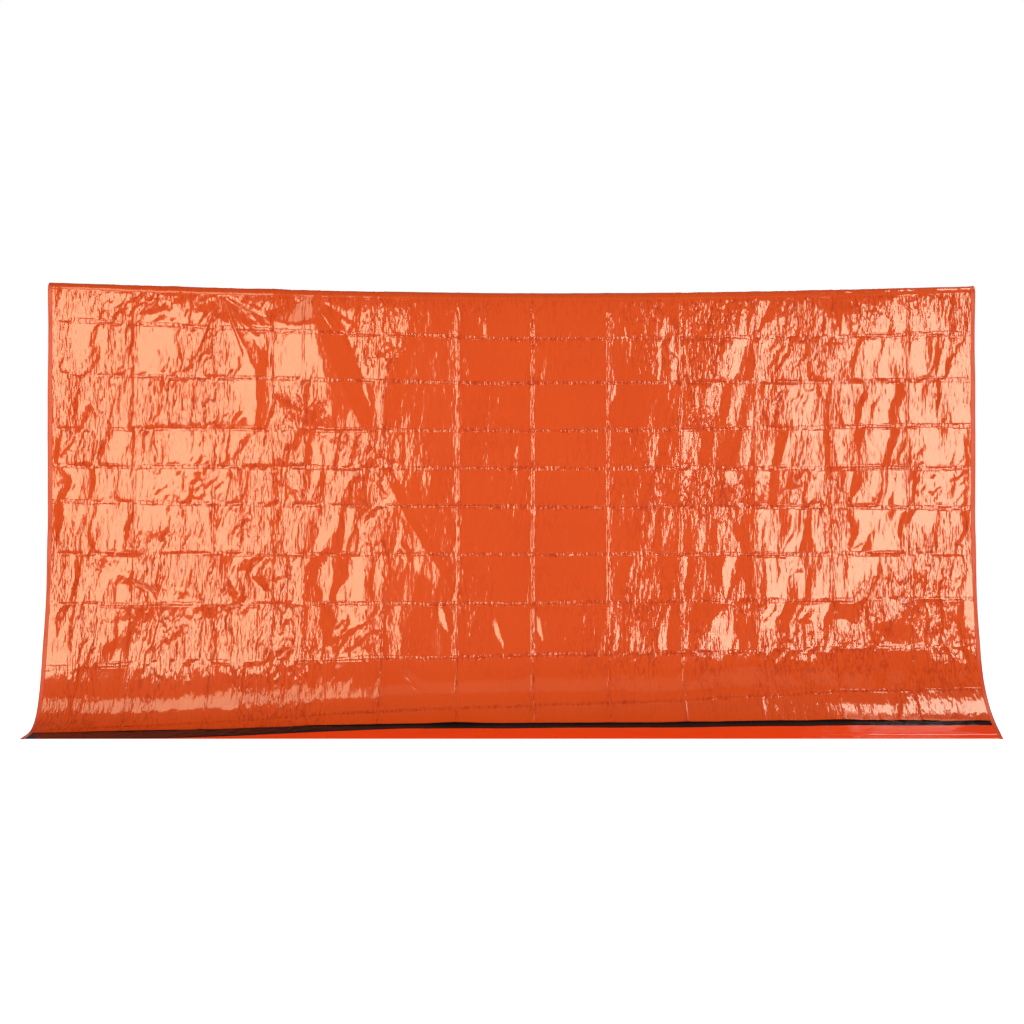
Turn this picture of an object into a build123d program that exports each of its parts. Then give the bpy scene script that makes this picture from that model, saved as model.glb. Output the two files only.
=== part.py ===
from build123d import *
import math
import os

# Film bivy sack, hung by its closed end over a round bar, mouth down on the floor.
# Millimetres. X runs along the bag's 2 m side, +Z is up and -Y is the front.
# The origin is the middle of the bar that the bag hangs over.

# The bag as cut
bag_width = 2000.0
bag_depth = 1200.0  # closed edge to mouth fold, back panel laid flat
seam_width = 10.0  # heat-sealed strip down each short side
hem_width = 42.0  # back panel's margin, turned up at the mouth
mouth_setback = 65.0  # front panel's edge, this far short of the mouth fold
lip_width = 4.0  # sealed rim along that edge

# The laminate: orange film outside, dark film inside, thicker than life
film = 0.8
lining = 0.5
laminate = film + lining

# How it hangs
bar_radius = 16.0
bar_height = 925.0  # bar's centre above the floor
mouth_reach = 205.0  # mouth fold, this far in front of the back panel's hanging plane
pocket = 10.0  # room between the two panels
ply_clearance = 0.3  # between the two panels where the bar presses them together
flare_drop = 220.0  # over this drop the front panel leans out to its full distance
plumb_drop = 425.0  # down to here the panels hang plumb
swell_radius = 1350.0  # back panel's outer face, where it first bends forward
swell_angle = 15.0
floor_angle = 68.0  # from plumb, where the back panel runs out to the floor
hinge_gap = 0.5  # clearance round the swinging front panel
fold_depth = 2.6  # height of the crease that closes the bag
lip_round = 0.4

# The belly's radius and the straight run-out that land the mouth fold on the floor
swell, slope = math.radians(swell_angle), math.radians(floor_angle)
reach_left = mouth_reach - swell_radius * (1 - math.cos(swell))
drop_left = bar_height - plumb_drop - swell_radius * math.sin(swell)
bend_out = math.cos(swell) - math.cos(slope)
bend_down = math.sin(slope) - math.sin(swell)
belly_radius = reach_left * math.cos(slope) - drop_left * math.sin(slope)
belly_radius /= bend_out * math.cos(slope) - bend_down * math.sin(slope)
runout = (reach_left - belly_radius * bend_out) / math.sin(slope)
# The front panel ends on the belly, before the run-out
edge_angle = floor_angle - math.degrees((mouth_setback - runout) / belly_radius)
sheet_angle = edge_angle - math.degrees(lip_width / belly_radius)

# Depths of the front panel's faces in front of the back panel's outer face
front_back = laminate + pocket
front_middle = front_back + lining
front_face = front_middle + film
# Radii of the plies where they lie over the bar
back_ply = bar_radius + laminate
front_ply = back_ply + ply_clearance
wrap_outer = front_ply + laminate

# Half widths of what lies between the two seams, fixed and swinging
inner_half = bag_width / 2 - seam_width
swing_half = inner_half - hinge_gap

# What is left of the bag's depth hangs behind the bar
front_run = plumb_drop + swell_radius * swell
front_run += belly_radius * (slope - swell) + runout
tail_drop = bag_depth - front_run - math.pi * bar_radius

os.makedirs("parts", exist_ok=True)


def face_line(depth, stop_angle, run=0.0, top=None):
    """One face of a hanging panel, depth in front of the back panel's outer face.

    It drops plumb, from top if the panel leans out from there, swells forward,
    turns through the belly to stop_angle from plumb and runs straight for run.
    Returns its two ends.
    """
    plane_y = -(bar_radius + depth)
    start = (plane_y, 0) if top is None else top
    if top is not None:
        Line(start, (plane_y, -flare_drop))
        Line((plane_y, -flare_drop), (plane_y, -plumb_drop))
    else:
        Line(start, (plane_y, -plumb_drop))
    swell_arc = JernArc((plane_y, -plumb_drop), (0, -1), swell_radius - depth, -swell_angle)
    turn = swell_angle - stop_angle
    belly_arc = JernArc(swell_arc @ 1, swell_arc % 1, belly_radius - depth, turn)
    end = belly_arc @ 1
    if run:
        end = Line(belly_arc @ 1, belly_arc @ 1 + (belly_arc % 1) * run) @ 1
    return start, end


def hanging_section(near, far, stop_angle, run=0.0, near_top=None, far_top=None, plane=Plane.YZ):
    """The section of a hanging panel between two depths, near and far."""
    with BuildSketch(plane) as section:
        with BuildLine():
            near_ends = face_line(near, stop_angle, run, near_top)
            far_ends = face_line(far, stop_angle, run, far_top)
            Line(near_ends[0], far_ends[0])
            Line(near_ends[1], far_ends[1])
        make_face()
    return section.sketch


def wrap_section(inner, outer, plane=Plane.YZ):
    """The section of a ply lying over the top half of the bar."""
    with BuildSketch(plane) as section:
        with BuildLine():
            inside = CenterArc((0, 0), inner, 0, 180)
            outside = CenterArc((0, 0), outer, 0, 180)
            Line(inside @ 0, outside @ 0)
            Line(inside @ 1, outside @ 1)
        make_face()
    return section.sketch


def tail_section(inner, outer, plane=Plane.YZ):
    """The section of a ply hanging plumb behind the bar."""
    with BuildSketch(plane) as section:
        with Locations(((inner + outer) / 2, -tail_drop / 2)):
            Rectangle(outer - inner, tail_drop)
    return section.sketch


def belly_point(angle, depth):
    """The point on the belly at an angle from plumb, as (y, z)."""
    arm = swell_radius - belly_radius
    centre_y = -(bar_radius + swell_radius) + arm * math.cos(swell)
    centre_z = -plumb_drop - arm * math.sin(swell)
    radius, turn = belly_radius - depth, math.radians(angle)
    return centre_y + radius * math.cos(turn), centre_z - radius * math.sin(turn)


# The back panel from the bar's front down to the mouth: film outside, lining inside
with BuildPart() as back_panel_film:
    extrude(hanging_section(0, film, floor_angle, runout), amount=bag_width / 2, both=True)
back_panel_film.part.label = "back_panel_film"
export_step(back_panel_film.part, "parts/back_panel_film.step")

with BuildPart() as back_panel_lining:
    extrude(hanging_section(film, laminate, floor_angle, runout), amount=inner_half, both=True)
back_panel_lining.part.label = "back_panel_lining"
export_step(back_panel_lining.part, "parts/back_panel_lining.step")

# The two plies over the bar. The back panel's film touches the bar all along.
with BuildPart() as bar_wrap_back_ply:
    extrude(wrap_section(bar_radius, bar_radius + film), amount=bag_width / 2, both=True)
    extrude(wrap_section(bar_radius + film, back_ply), amount=inner_half, both=True)
bar_wrap_back_ply.part.label = "bar_wrap_back_ply"
export_step(bar_wrap_back_ply.part, "parts/bar_wrap_back_ply.step")

with BuildPart() as bar_wrap_front_ply:
    extrude(wrap_section(front_ply, wrap_outer), amount=inner_half, both=True)
bar_wrap_front_ply.part.label = "bar_wrap_front_ply"
export_step(bar_wrap_front_ply.part, "parts/bar_wrap_front_ply.step")

# The tail behind the bar, and the fold that closes the bag
with BuildPart() as tail_back_ply:
    extrude(tail_section(bar_radius, bar_radius + film), amount=bag_width / 2, both=True)
    extrude(tail_section(bar_radius + film, back_ply), amount=inner_half, both=True)
tail_back_ply.part.label = "tail_back_ply"
export_step(tail_back_ply.part, "parts/tail_back_ply.step")

with BuildPart() as tail_front_ply:
    extrude(tail_section(front_ply, wrap_outer), amount=inner_half, both=True)
tail_front_ply.part.label = "tail_front_ply"
export_step(tail_front_ply.part, "parts/tail_front_ply.step")

with BuildPart() as closed_edge_fold:
    with BuildSketch(Plane.YZ):
        with Locations((bar_radius, -tail_drop)):
            Rectangle(wrap_outer - bar_radius, fold_depth, align=(Align.MIN, Align.MAX))
    extrude(amount=bag_width / 2, both=True)
    fillet(closed_edge_fold.edges().filter_by(Axis.X).group_by(Axis.Z)[0], radius=laminate)
closed_edge_fold.part.label = "closed_edge_fold"
export_step(closed_edge_fold.part, "parts/closed_edge_fold.step")

# The heat-sealed side seams join the two panels from the front panel's edge to the fold
for side, seam_x in (("left", -bag_width / 2), ("right", inner_half)):
    seam_plane = Plane.YZ.offset(seam_x)
    wrap_top = (-wrap_outer, 0)
    with BuildPart() as side_seam:
        hanging = hanging_section(film, front_face, edge_angle, far_top=wrap_top, plane=seam_plane)
        extrude(hanging, amount=seam_width)
        extrude(wrap_section(bar_radius + film, wrap_outer, seam_plane), amount=seam_width)
        extrude(tail_section(bar_radius + film, wrap_outer, seam_plane), amount=seam_width)
    side_seam.part.label = f"{side}_side_seam"
    export_step(side_seam.part, f"parts/{side}_side_seam.step")

# The back panel's margin is turned up over its lining, round a fold at the mouth
mouth_plane = Plane(
    origin=(0, -(bar_radius + mouth_reach), -bar_height),
    x_dir=(0, math.sin(slope), math.cos(slope)),
    z_dir=(1, 0, 0),
)
with BuildPart() as turned_up_hem:
    with BuildSketch(mouth_plane):
        with Locations((0, laminate)):
            Rectangle(hem_width, laminate, align=Align.MIN)
    extrude(amount=inner_half, both=True)
turned_up_hem.part.label = "turned_up_hem"
export_step(turned_up_hem.part, "parts/turned_up_hem.step")

with BuildPart() as mouth_fold:
    with BuildSketch(mouth_plane):
        with BuildLine():
            bead = CenterArc((0, laminate), laminate, 90, 180)
            Line(bead @ 0, bead @ 1)
        make_face()
    extrude(amount=inner_half, both=True)
mouth_fold.part.label = "mouth_fold"
export_step(mouth_fold.part, "parts/mouth_fold.step")

# The front panel swings at the bar: film outside, lining inside, a sealed rim at its edge
with BuildPart() as front_panel_film:
    film_back = (-(front_ply + lining), -hinge_gap)
    film_face = (-wrap_outer, -hinge_gap)
    outer_film = hanging_section(
        front_middle, front_face, sheet_angle, near_top=film_back, far_top=film_face
    )
    extrude(outer_film, amount=swing_half, both=True)
front_panel_film.part.label = "front_panel_film"
export_step(front_panel_film.part, "parts/front_panel_film.step")

with BuildPart() as front_panel_lining:
    lining_back = (-front_ply, -hinge_gap)
    inner_film = hanging_section(
        front_back, front_middle, sheet_angle, near_top=lining_back, far_top=film_back
    )
    extrude(inner_film, amount=swing_half, both=True)
front_panel_lining.part.label = "front_panel_lining"
export_step(front_panel_lining.part, "parts/front_panel_lining.step")

edge_radians = math.radians(sheet_angle)
lip_plane = Plane(
    origin=(0, *belly_point(sheet_angle, front_back)),
    x_dir=(0, -math.sin(edge_radians), -math.cos(edge_radians)),
    z_dir=(-1, 0, 0),
)
with BuildPart() as front_lip:
    with BuildSketch(lip_plane):
        Rectangle(lip_width, laminate, align=Align.MIN)
    extrude(amount=swing_half, both=True)
    outer_edges = front_lip.edges().filter_by(Axis.X).sort_by(Axis.Y)[:2]
    fillet(outer_edges, radius=lip_round)
front_lip.part.label = "front_lip"
export_step(front_lip.part, "parts/front_lip.step")
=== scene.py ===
"""Foil bivy sack hung over a bar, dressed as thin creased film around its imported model.

The sack's two panels are grids of film laid along one side profile, from the closed edge behind
the bar, over the bar and down to the mouth on the floor. Every length is in metres.
"""

import logging
import math
from collections.abc import Callable
from dataclasses import dataclass, field, replace
from enum import Enum
from functools import partial, partialmethod

import bpy
import numpy as np
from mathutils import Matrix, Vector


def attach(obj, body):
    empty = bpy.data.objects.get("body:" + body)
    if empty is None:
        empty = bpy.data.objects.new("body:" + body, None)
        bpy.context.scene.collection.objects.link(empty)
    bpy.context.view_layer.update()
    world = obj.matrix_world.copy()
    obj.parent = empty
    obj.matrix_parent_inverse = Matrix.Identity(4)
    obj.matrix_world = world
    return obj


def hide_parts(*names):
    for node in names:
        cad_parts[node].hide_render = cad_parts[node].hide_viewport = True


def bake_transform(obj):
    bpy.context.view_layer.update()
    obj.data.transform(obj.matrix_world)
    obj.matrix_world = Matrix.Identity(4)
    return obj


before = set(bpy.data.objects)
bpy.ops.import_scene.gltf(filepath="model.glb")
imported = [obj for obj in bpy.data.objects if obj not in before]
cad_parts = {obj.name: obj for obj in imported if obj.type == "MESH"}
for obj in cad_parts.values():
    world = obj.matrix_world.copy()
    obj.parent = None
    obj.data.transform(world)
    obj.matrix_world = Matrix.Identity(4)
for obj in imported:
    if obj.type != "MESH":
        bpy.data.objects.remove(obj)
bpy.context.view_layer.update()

SEAM_LINE = 0.99
MOUTH_MIDDLE = 0.045
Array = np.ndarray
Places = tuple[Array, Array, Array, Array | float]
Shape = Callable[[Array, Array], Places]
Pair = tuple[float, float]
Triple = tuple[float, float, float]
Rgba = tuple[float, float, float, float]
Material = bpy.types.Material
Socket = bpy.types.NodeSocket
log = logging.getLogger("bivy")


# ---- Number helpers ----


def step(low: float, high: float, value: Array) -> Array:
    """Rises smoothly from 0 at low to 1 at high, or falls where low is the larger.

    Args:
        low: where the result is 0.
        high: where the result is 1.
        value: the numbers to judge.

    Returns:
        Numbers from 0 to 1.
    """
    t = np.clip((value - low) / (high - low), 0.0, 1.0)
    return t * t * (3.0 - 2.0 * t)


def scatter(i: Array, j: Array, seed: int | Array) -> Array:
    """Gives each point of a whole-number lattice its own fixed random number.

    Args:
        i: lattice column.
        j: lattice row.
        seed: which of the random patterns.

    Returns:
        Numbers from -1 to 1.
    """
    mask = np.uint64(0xFFFFFFFF)
    n = i.astype(np.int64).astype(np.uint64) * np.uint64(0x9E3779B1)
    n = n ^ (j.astype(np.int64).astype(np.uint64) * np.uint64(0x85EBCA77))
    n = (n + np.asarray(seed).astype(np.uint64) * np.uint64(0xC2B2AE3D)) & mask
    n = ((n ^ (n >> np.uint64(15))) * np.uint64(0x2C1B3C6D)) & mask
    n = ((n ^ (n >> np.uint64(12))) * np.uint64(0x297A2D39)) & mask
    n = n ^ (n >> np.uint64(15))
    return n.astype(float) / float(mask) * 2.0 - 1.0


def lattice(u: Array, v: Array, seed: int | Array) -> tuple[Array, ...]:
    """Finds places in a lattice of random numbers.

    Args:
        u: place along the lattice's columns.
        v: place along its rows.
        seed: which of the random patterns.

    Returns:
        The place inside its cell, then the numbers of the cell's four corners, row by row.
    """
    i = np.floor(u)
    j = np.floor(v)
    corners = (scatter(i + right, j + up, seed) for up in (0, 1) for right in (0, 1))
    return u - i, v - j, *corners


def facets(u: Array, v: Array, seed: int | Array) -> Array:
    """Flat three-sided facets between random heights, as crumpled film has.

    Args:
        u: place along the lattice's columns, one unit to a facet.
        v: place along its rows.
        seed: which of the random patterns.

    Returns:
        Heights from -1 to 1, which bend sharply only along the facets' edges.
    """
    a, b, near, right, up, far = lattice(u, v, seed)
    lower = near + (right - near) * a + (up - near) * b
    upper = far + (up - far) * (1 - a) + (right - far) * (1 - b)
    return np.where(a + b < 1, lower, upper)


def swells(u: Array, v: Array, seed: int) -> Array:
    """Soft random hills, for slow waves and for bending other patterns.

    Args:
        u: place along the lattice's columns.
        v: place along its rows.
        seed: which of the random patterns.

    Returns:
        Heights from -1 to 1 without any edge.
    """
    a, b, near, right, up, far = lattice(u, v, seed)
    a = a * a * (3 - 2 * a)
    b = b * b * (3 - 2 * b)
    low = near * (1 - a) + right * a
    high = up * (1 - a) + far * a
    return low * (1 - b) + high * b


# ---- The way the sack hangs ----


@dataclass(frozen=True)
class Hang:
    """Side profile of the sack: a path from the bar's front down to the mouth fold on the floor.

    A place on it is the length along the back panel's outer face, from the bar's front. It is
    negative over the bar and down the tail behind it.
    """

    half_width: float = 1.0
    seam: float = 0.010
    bar_radius: float = 0.016
    bar_height: float = 0.925
    plumb: float = 0.425
    swell_radius: float = 1.350
    swell_turn: float = math.radians(15)
    belly_radius: float = 0.20108
    floor_turn: float = math.radians(68)
    runout: float = 0.04325
    tail: float = 0.142
    mouth_setback: float = 0.065
    sag_left: float = 0.0250
    sag_right: float = 0.0170
    sag_base: float = -0.009
    low_x: float = 0.06

    @property
    def over_bar(self) -> float:
        """Length of the half turn over the bar."""
        return math.pi * self.bar_radius

    @property
    def start(self) -> float:
        """Where the tail ends behind the bar."""
        return -self.over_bar - self.tail

    @property
    def swell_end(self) -> float:
        """Where the swell turns into the belly."""
        return self.plumb + self.swell_radius * self.swell_turn

    @property
    def belly_end(self) -> float:
        """Where the belly turns into the straight run on the floor."""
        return self.swell_end + self.belly_radius * (self.floor_turn - self.swell_turn)

    @property
    def fold(self) -> float:
        """Where the mouth fold lies on the floor."""
        return self.belly_end + self.runout

    @property
    def front_edge(self) -> float:
        """Where the front panel ends."""
        return self.fold - self.mouth_setback

    def turn(self, s: Array) -> Array:
        """How far the path has turned from plumb towards the floor, in radians.

        Args:
            s: places on the path.

        Returns:
            Angles, negative over the bar.
        """
        swell = np.clip(s - self.plumb, 0, self.swell_end - self.plumb) / self.swell_radius
        belly = np.clip(s - self.swell_end, 0, self.belly_end - self.swell_end)
        over = np.clip(s, -self.over_bar, 0) / self.bar_radius
        return over + swell + belly / self.belly_radius

    def place(self, s: Array, lift: Array) -> tuple[Array, Array]:
        """Places points at a height off the path.

        Args:
            s: places on the path.
            lift: heights off the path, outward at the front and inward over the mouth.

        Returns:
            Their y and z.
        """
        a = self.turn(s)
        over = np.clip(-s, 0, self.over_bar) / self.bar_radius
        radius = self.bar_radius
        y = -radius * np.cos(over)
        z = radius * np.sin(over) - np.clip(s, 0, self.plumb)
        z = z - np.clip(-s - self.over_bar, 0, None)
        swell = np.clip(a, 0, self.swell_turn)
        belly = np.clip(a, self.swell_turn, self.floor_turn)
        y = y - self.swell_radius * (1 - np.cos(swell))
        z = z - self.swell_radius * np.sin(swell)
        y = y - self.belly_radius * (math.cos(self.swell_turn) - np.cos(belly))
        z = z - self.belly_radius * (np.sin(belly) - math.sin(self.swell_turn))
        run = np.clip(s - self.belly_end, 0, None)
        y = y - run * math.sin(self.floor_turn)
        z = z - run * math.cos(self.floor_turn)
        return y - lift * np.cos(a), z + lift * np.sin(a) * np.sign(np.where(s < 0, -1, 1))

    def droop(self, x: Array, s: Array) -> Array:
        """How far the sagging bar line lowers or lifts the film.

        Args:
            x: places across.
            s: places on the path.

        Returns:
            Height changes, which fade out down the sack.
        """
        left = np.clip((self.low_x - x) / (1 + self.low_x), 0, None)
        right = np.clip((x - self.low_x) / (1 - self.low_x), 0, None)
        line = self.sag_base + self.sag_left * left**1.6 + self.sag_right * right**2
        return line * step(0.36, 0.0, s)

    def settle(self, x: Array, s: Array, z: Array) -> Array:
        """Lets the mouth lie flatter on the floor at the left and stand a little at the right.

        Args:
            x: places across.
            s: places on the path.
            z: heights before settling.

        Returns:
            Heights after it.
        """
        stations = (-1.0, -0.60, -0.44, -0.23, 0.3, 0.7, 1.0)
        share = (0.84, 0.52, 0.30, 0.16, 0.06, -0.14, -0.14)
        k = np.interp(x, stations, share) * step(self.swell_end - 0.02, self.fold - 0.05, s)
        return z - (z + self.bar_height) * k

    def path_at(self, height: float) -> float:
        """Place on the path at a height over the floor.

        Args:
            height: height over the floor.

        Returns:
            The length along the path.
        """
        s = np.linspace(0, self.fold, 2000)
        z = self.place(s, np.zeros_like(s))[1] + self.bar_height
        return float(np.interp(-height, -z, s))


# ---- The film's creases ----


@dataclass(frozen=True)
class Drape:
    """One long fold which runs down the film, with a crest and a slope on each side."""

    path: tuple[Pair, ...]
    height: float
    left: float
    right: float
    calm: float = 0.0
    grow: float = 0.05
    fade: float = 0.04
    wander: float = 0.0025
    wander_run: float = 0.03

    def relief(self, x: Array, s: Array) -> tuple[Array, Array]:
        """Height and calm of the film on and beside the fold.

        Args:
            x: places across.
            s: places on the path.

        Returns:
            Heights, and from 0 to 1 how smooth the film is pulled.
        """
        along = [p[1] for p in self.path]
        crest = np.interp(s, along, [p[0] for p in self.path])
        crest = crest + self.wander * swells(s / self.wander_run, x * 0, 71)
        ends = step(along[0], along[0] + self.grow, s)
        ends = ends * step(along[-1], along[-1] - self.fade, s)
        reach = np.where(x < crest, self.left, self.right) * (0.35 + 0.65 * ends)
        tent = np.clip(1 - np.abs(x - crest) / reach, 0, 1)
        smooth = np.where(x < crest, step(0.60, 0.90, tent), step(0.0, 0.25, tent))
        return self.height * ends * tent, self.calm * ends * smooth


@dataclass(frozen=True)
class Fan:
    """Short pleats that spread from one pinched point under the bar."""

    x: float
    s: float
    reach: float
    pleats: float
    height: float
    lean: float = 0.0
    spread: float = 1.1
    pinch: float = 0.012

    def relief(self, x: Array, s: Array) -> Array:
        """Height of the film on the pleats.

        Args:
            x: places across.
            s: places on the path.

        Returns:
            Heights.
        """
        run = np.hypot(x - self.x, s - self.s)
        angle = np.arctan2(x - self.x, np.maximum(s - self.s, 1e-5)) - self.lean
        reach = self.reach * (0.70 + 0.35 * scatter(np.floor(angle * self.pleats), 0 * x, 85))
        inside = step(0.0, self.pinch, run) * np.clip((reach - run) / (0.5 * reach), 0, 1)
        inside = inside * step(self.spread, 0.7 * self.spread, np.abs(angle))
        ripple = facets(angle * self.pleats, run / (1.5 * self.reach), 83)
        return self.height * inside * ripple * np.minimum(1.0, run / (0.5 * self.reach) + 0.3)


@dataclass(frozen=True)
class Layer:
    """Crumple of one size: flat facets of film between random heights."""

    size: Pair
    height: float
    seed: int
    bend: Pair = (0.0, 0.0)
    shift: float = 0.0

    def relief(
        self, x: Array, s: Array, bends: tuple[Array | float, ...] = (0.0, 0.0), row: Array | int = 0
    ) -> Array:
        """Height of the facets.

        Args:
            x: places across.
            s: places on the path.
            bends: how far the pattern is pushed across and along.
            row: which bay between two row folds.

        Returns:
            Heights.
        """
        u = x / self.size[0] + self.bend[0] * bends[0]
        v = s / self.size[1] + row * self.shift + self.bend[1] * bends[1]
        return self.height * facets(u, v, self.seed)


@dataclass(frozen=True)
class Fold:
    """Cross-section of a packing fold, highest on its line."""

    height: float
    run: float

    def relief(self, near: Array) -> Array:
        """Height at a distance from the fold's line."""
        return self.height * np.exp(-near / self.run)


@dataclass(frozen=True)
class Folds:
    """The grid of fold lines from the sack's packet, with the film's crumple between them."""

    hang: Hang
    columns: tuple[float, ...] = (
        -0.812, -0.642, -0.515, -0.448, -0.278, -0.116, 0.045, 0.207, 0.364, 0.526, 0.690, 0.853,
    )
    faint: tuple[float, ...] = (-0.73, 0.142, 0.472, 0.588)
    heights: tuple[Triple, ...] = (
        (0.861, 0.842, 0.840),
        (0.751, 0.743, 0.743),
        (0.639, 0.637, 0.646),
        (0.560, 0.555, 0.555),
        (0.482, 0.472, 0.470),
        (0.371, 0.369, 0.371),
        (0.262, 0.264, 0.274),
        (0.139, 0.153, 0.172),
        (0.034, 0.056, 0.080),
    )
    drapes: tuple[Drape, ...] = ()
    fans: tuple[Fan, ...] = ()
    seed: int = 11
    row_fold: Fold = Fold(-0.0013, 0.0030)
    row_slope: Fold = Fold(-0.0006, 0.018)
    column_fold: Fold = Fold(0.0012, 0.0030)
    column_slope: Fold = Fold(0.0008, 0.012)
    faint_fold: Fold = Fold(0.0003, 0.003)
    block: Layer = Layer((0.160, 0.100), 0.0028, 23, (0.2, 0.2))
    broad: Layer = Layer((0.060, 0.150), 0.0026, 21, (1.0, 1.0))
    tall: Layer = Layer((0.024, 0.095), 0.0015, 29, (1.2, 1.0), 5.37)
    puck: Layer = Layer((0.0125, 0.050), 0.0010, 31, (2.0, 1.0), 3.71)
    squiggle: Layer = Layer((0.0105, 0.012), 0.0005, 53, (2.0, 2.0))
    fine: Layer = Layer((0.0068, 0.026), 0.00036, 37, (2.0, 2.0))
    hook: Layer = Layer((0.014, 0.040), 0.0007, 59, (1.0, 0.0))
    # widths of the painted shade lines along the row and column folds
    row_shade_width: float = 0.0028
    column_shade_width: float = 0.0020
    crossing: float = 0.012
    hook_run: float = 0.022

    def rows(self, x: Array) -> Array:
        """Places of the row folds at each x.

        Args:
            x: places across.

        Returns:
            One row of path places to each fold.
        """
        lines = []
        for k, triple in enumerate(self.heights):
            s = [self.hang.path_at(h) for h in triple]
            line = np.interp(x, (-0.95, 0.0, 0.95), s)
            lines.append(line + 0.0016 * swells(x / 0.09, x * 0 + k, self.seed + 3))
        return np.array(lines)

    def nearest(self, lines: tuple[float, ...], x: Array, s: Array) -> Array:
        """Distance from the nearest of some lines that run down the film."""
        wander = 0.0014 * swells(s / 0.05, x * 0, self.seed + 9)
        return np.abs(x[None, :] + wander - np.array(lines)[:, None]).min(axis=0)

    def strength(self, x: Array, s: Array) -> Array:
        """How strongly the film is crumpled: less in the middle and low down.

        Args:
            x: places across.
            s: places on the path.

        Returns:
            Numbers around 0.2 to 1.
        """
        across = x + 0.06 * swells(s / 0.13, x * 0, self.seed + 5)
        left = step(-0.20, -0.34, across)
        right = step(0.12, 0.42, across)
        side = 0.27 + 0.73 * np.maximum(left, right * 0.95)
        keep = np.maximum(0.45 * step(-0.40, -0.50, across), 0.35 * step(0.62, 0.80, across))
        low = 1 - (0.62 - keep) * step(0.78, 0.86, s)
        return side * low

    def long_folds(self, x: Array, s: Array) -> tuple[Array, Array]:
        """The drapes and the fans together.

        Args:
            x: places across.
            s: places on the path.

        Returns:
            Heights, and how smooth the film is pulled.
        """
        height = np.zeros_like(x)
        calm = np.zeros_like(x)
        for drape in self.drapes:
            lift, smooth = drape.relief(x, s)
            height = height + lift
            calm = np.maximum(calm, smooth)
        for fan in self.fans:
            height = height + fan.relief(x, s)
        return height, calm

    def relief(self, x: Array, s: Array) -> tuple[Array, Array]:
        """Relief of the film and the share of fine crinkle on it.

        Args:
            x: places across.
            s: places on the path.

        Returns:
            Heights off the hanging profile, and the fine crinkle's share from 0 to 1. The share
            goes on from 1 to 2 on a fold line, where it sets a thin line of painted shade.
        """
        seed = self.seed
        gap = s[None, :] - self.rows(x)
        row = (gap > 0).sum(axis=0)
        near_row = np.abs(gap).min(axis=0)
        near_column = self.nearest(self.columns, x, s)
        near_faint = self.nearest(self.faint, x, s)
        height, calm = self.long_folds(x, s)

        crossing = 0.35 + 0.65 * np.exp(-near_row / 0.02)
        crossing = np.exp(-((near_column / self.crossing) ** 2)) * crossing
        power = self.strength(x, s) * (1 - calm)
        power = np.maximum(power, 0.45 * crossing * (1 - calm) * step(0.80, 0.72, s))
        patch = step(-0.35, 0.45, swells(x / 0.07, s / 0.11, seed + 41))
        corner = step(-0.50, -0.66, x) * step(0.24, 0.12, s)
        zone = np.maximum(step(0.15, 0.5, swells(x / 0.12, s / 0.10, seed + 47)), corner)
        under_bar = np.exp(-s / self.hook_run) * step(-0.004, 0.006, s)
        busy = np.clip(power * (0.25 + 0.75 * patch) + 0.6 * crossing + 0.5 * under_bar, 0, 1.2)
        bay = power * step(0.0, 0.007, near_row)
        bends = (
            0.35 * swells(x / 0.06, s / 0.05, seed + 13),
            0.35 * swells(x / 0.05, s / 0.07, seed + 17),
        )
        shares = (
            (self.block, power),
            (self.broad, power),
            (self.tall, bay * (1 - 0.5 * corner)),
            (self.puck, bay * (0.35 + 0.65 * patch)),
            (self.squiggle, power * zone),
            (self.fine, busy),
            (self.hook, under_bar),
        )
        for layer, share in shares:
            layer = replace(layer, seed=seed + layer.seed)
            height = height + share * layer.relief(x, s, bends, row)

        along = 0.55 + 0.45 * swells(x / 0.07, s / 0.05, seed + 43)
        rows = self.row_fold.relief(near_row) + self.row_slope.relief(near_row) * power
        ribs = self.column_fold.relief(near_column) + self.column_slope.relief(near_column)
        height = height + along * (rows + (0.4 + 0.6 * power) * ribs)
        height = height + along * self.faint_fold.relief(near_faint)
        # painted shade: a thin line along each row fold, and a fainter one along each column fold,
        # handed on as the crinkle share above 1
        line = np.exp(-((near_row / self.row_shade_width) ** 2)) * (0.75 + 0.25 * along)
        down = np.exp(-((near_column / self.column_shade_width) ** 2))
        line = np.maximum(line, 0.6 * along * down)
        return height, np.where(line > 0.08, 1 + line, np.clip(busy, 0, 1))


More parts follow.
